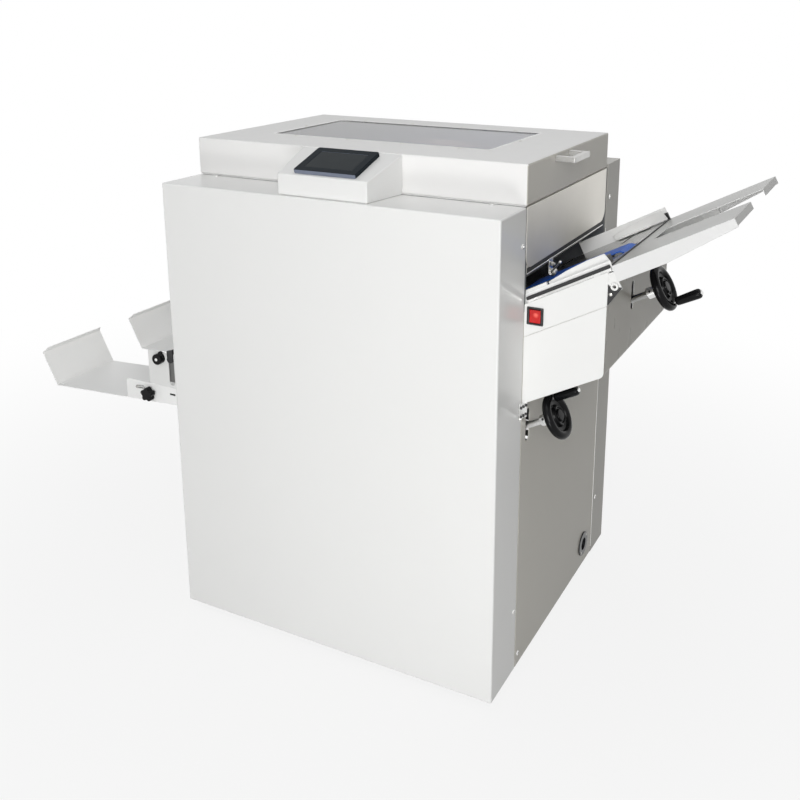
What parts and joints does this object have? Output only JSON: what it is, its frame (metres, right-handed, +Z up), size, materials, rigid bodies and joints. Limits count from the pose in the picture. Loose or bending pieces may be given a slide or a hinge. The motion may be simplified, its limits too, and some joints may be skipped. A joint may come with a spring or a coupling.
{
  "type": "floor-standing booklet maker",
  "caption": "Floor-standing booklet maker: sheets run down an inclined infeed, are wire-stitched and knife-folded inside the cabinet and leave onto split outfeed wings.",
  "frame": {"origin": "floor level, under the middle of the machine's overall length and depth", "axes": "+X from the outfeed wings to the infeed tray, +Y from the front cover to the back cover, +Z up"},
  "size_m": [1.551, 0.656, 0.9878],
  "materials": {
    "white_paint": "gloss",
    "grey_paint": "satin",
    "machined_steel": "satin",
    "bright_sheet": "bright",
    "polished_metal": "polished",
    "black_plastic": "gloss",
    "black_rubber": "matte",
    "blue_belt": "satin",
    "red_switch": "gloss",
    "navy_bezel": "satin",
    "dark_glass": "gloss",
    "clear_window": "clear"
  },
  "bodies": {
    "machine": {"base_frame": "grey_paint", "levelling_feet": "black_rubber", "front_frame": "grey_paint", "rear_frame": "grey_paint", "tie_bars": "machined_steel", "front_cover": "white_paint", "back_cover": "white_paint", "right_panel": "white_paint", "left_panel": "white_paint", "guard_plate": "bright_sheet", "console_box": "white_paint", "touch_bezel": "navy_bezel", "touch_glass": "dark_glass", "cover_screws": "machined_steel", "hood_hinge_base": "machined_steel", "power_inlet": "black_plastic", "infeed_cover": "white_paint", "infeed_frame": "white_paint", "infeed_bed": "bright_sheet", "feed_belt": "blue_belt", "infeed_tray": "white_paint", "switch_bezel": "black_plastic", "screw_blocks": "machined_steel", "path_plate": "bright_sheet", "stitch_beam": "grey_paint", "stitch_heads": "machined_steel", "clincher_bar": "machined_steel", "knife_beam": "grey_paint", "drive_motor": "grey_paint", "exit_chute": "bright_sheet", "outfeed_brackets": "white_paint"},
    "hood_lid": {"hood": "white_paint", "hood_window": "clear_window", "hood_screws": "machined_steel", "hood_handle": "polished_metal", "hood_hinge_leaf": "machined_steel"},
    "rocker": {"switch_rocker": "red_switch"},
    "drive_roller": {"feed_drive_roller": "machined_steel"},
    "idler_roller": {"feed_idler_roller": "machined_steel"},
    "guide_front": {"front_guide": "white_paint"},
    "guide_rear": {"rear_guide": "white_paint"},
    "upper_wheel": {"upper_handwheel": "black_plastic", "upper_screw": "polished_metal"},
    "upper_grip_piece": {"upper_grip": "black_plastic"},
    "stitch_stop_carriage": {"stitch_stop": "machined_steel"},
    "lower_wheel": {"lower_handwheel": "black_plastic", "lower_screw": "polished_metal"},
    "lower_grip_piece": {"lower_grip": "black_plastic"},
    "fold_stop_carriage": {"fold_stop": "machined_steel"},
    "driver": {"stitch_driver": "bright_sheet"},
    "spools": {"wire_spools": "machined_steel"},
    "knife": {"fold_knife": "bright_sheet"},
    "roller_a": {"fold_roller_a": "black_rubber"},
    "roller_b": {"fold_roller_b": "black_rubber"},
    "outfeed_tray": {"front_wing": "white_paint", "rear_wing": "white_paint"},
    "tray_knobs": {"star_knobs": "black_plastic"},
    "press": {"press_roller": "black_rubber"},
    "lever": {"clamp_lever": "black_plastic"}
  },
  "joints": [
    {"name": "hood_open", "type": "hinge", "parent": "machine", "child": "hood_lid", "pos_m": [-0.27625, 0.008, 0.91275], "axis": [0, -1, 0], "range_deg": [0, 75]},
    {"name": "switch_rock", "type": "hinge", "parent": "machine", "child": "rocker", "pos_m": [0.45075, -0.213, 0.7226], "axis": [1, 0, 0], "range_deg": [-9, 9]},
    {"name": "feed_drive_spin", "type": "hinge", "parent": "machine", "child": "drive_roller", "pos_m": [0.39127, -0.011, 0.71531], "axis": [0, 1, 0], "continuous": true},
    {"name": "feed_idler_spin", "type": "hinge", "parent": "machine", "child": "idler_roller", "pos_m": [0.55903, -0.011, 0.80451], "axis": [0, 1, 0], "continuous": true},
    {"name": "front_guide_slide", "type": "slide", "parent": "machine", "child": "guide_front", "axis": [0, 1, 0], "range_m": [0, 0.09]},
    {"name": "rear_guide_slide", "type": "slide", "parent": "machine", "child": "guide_rear", "axis": [0, -1, 0], "range_m": [0, 0.09]},
    {"name": "upper_wheel_turn", "type": "hinge", "parent": "machine", "child": "upper_wheel", "pos_m": [0.631, -0.058, 0.75648], "axis": [0.8829, 0, 0.4695], "range_deg": [-2880, 2880]},
    {"name": "upper_grip_spin", "type": "hinge", "parent": "upper_wheel", "child": "upper_grip_piece", "pos_m": [0.6458, -0.05244, 0.72866], "axis": [0.8829, 0, 0.4695], "continuous": true},
    {"name": "stitch_stop_slide", "type": "slide", "parent": "machine", "child": "stitch_stop_carriage", "axis": [0.8829, 0, 0.4695], "range_m": [-0.0401, 0.0401]},
    {"name": "lower_wheel_turn", "type": "hinge", "parent": "machine", "child": "lower_wheel", "pos_m": [0.48622, -0.1855, 0.53249], "axis": [0.8829, 0, 0.4695], "range_deg": [-2880, 2880]},
    {"name": "lower_grip_spin", "type": "hinge", "parent": "lower_wheel", "child": "lower_grip_piece", "pos_m": [0.47142, -0.17994, 0.56031], "axis": [0.8829, 0, 0.4695], "continuous": true},
    {"name": "fold_stop_slide", "type": "slide", "parent": "machine", "child": "fold_stop_carriage", "axis": [0.8829, 0, 0.4695], "range_m": [-0.0401, 0.0401]},
    {"name": "stitch_drive", "type": "slide", "parent": "machine", "child": "driver", "axis": [0.4695, 0, -0.8829], "range_m": [0, 0.012]},
    {"name": "spool_spin", "type": "hinge", "parent": "machine", "child": "spools", "pos_m": [0.19683, -0.011, 0.83391], "axis": [0, 1, 0], "continuous": true},
    {"name": "knife_stroke", "type": "slide", "parent": "machine", "child": "knife", "axis": [0.4695, 0, -0.8829], "range_m": [0, 0.03]},
    {"name": "fold_roller_a_spin", "type": "hinge", "parent": "machine", "child": "roller_a", "pos_m": [0.10623, -0.011, 0.54677], "axis": [0, 1, 0], "continuous": true},
    {"name": "fold_roller_b_spin", "type": "hinge", "parent": "machine", "child": "roller_b", "pos_m": [0.07233, -0.011, 0.52874], "axis": [0, 1, 0], "continuous": true},
    {"name": "outfeed_slide", "type": "slide", "parent": "machine", "child": "outfeed_tray", "axis": [1, 0, 0], "range_m": [-0.025, 0.025]},
    {"name": "tray_knob_turn", "type": "hinge", "parent": "outfeed_tray", "child": "tray_knobs", "pos_m": [-0.44375, 0.012, 0.409], "axis": [0, 1, 0], "continuous": true},
    {"name": "press_drop", "type": "slide", "parent": "machine", "child": "press", "axis": [0, 0, -1], "range_m": [0, 0.045]},
    {"name": "clamp_lever_turn", "type": "hinge", "parent": "machine", "child": "lever", "pos_m": [-0.40975, -0.216, 0.496], "axis": [0, 1, 0], "range_deg": [-60, 60]}
  ],
  "couplings": [
    {"joint": "feed_idler_spin", "follows": "feed_drive_spin", "ratio": 1},
    {"joint": "rear_guide_slide", "follows": "front_guide_slide", "ratio": 1},
    {"joint": "stitch_stop_slide", "follows": "upper_wheel_turn", "m_per_rad": -0.00079577},
    {"joint": "fold_stop_slide", "follows": "lower_wheel_turn", "m_per_rad": -0.00079577},
    {"joint": "fold_roller_b_spin", "follows": "fold_roller_a_spin", "ratio": -1}
  ]
}
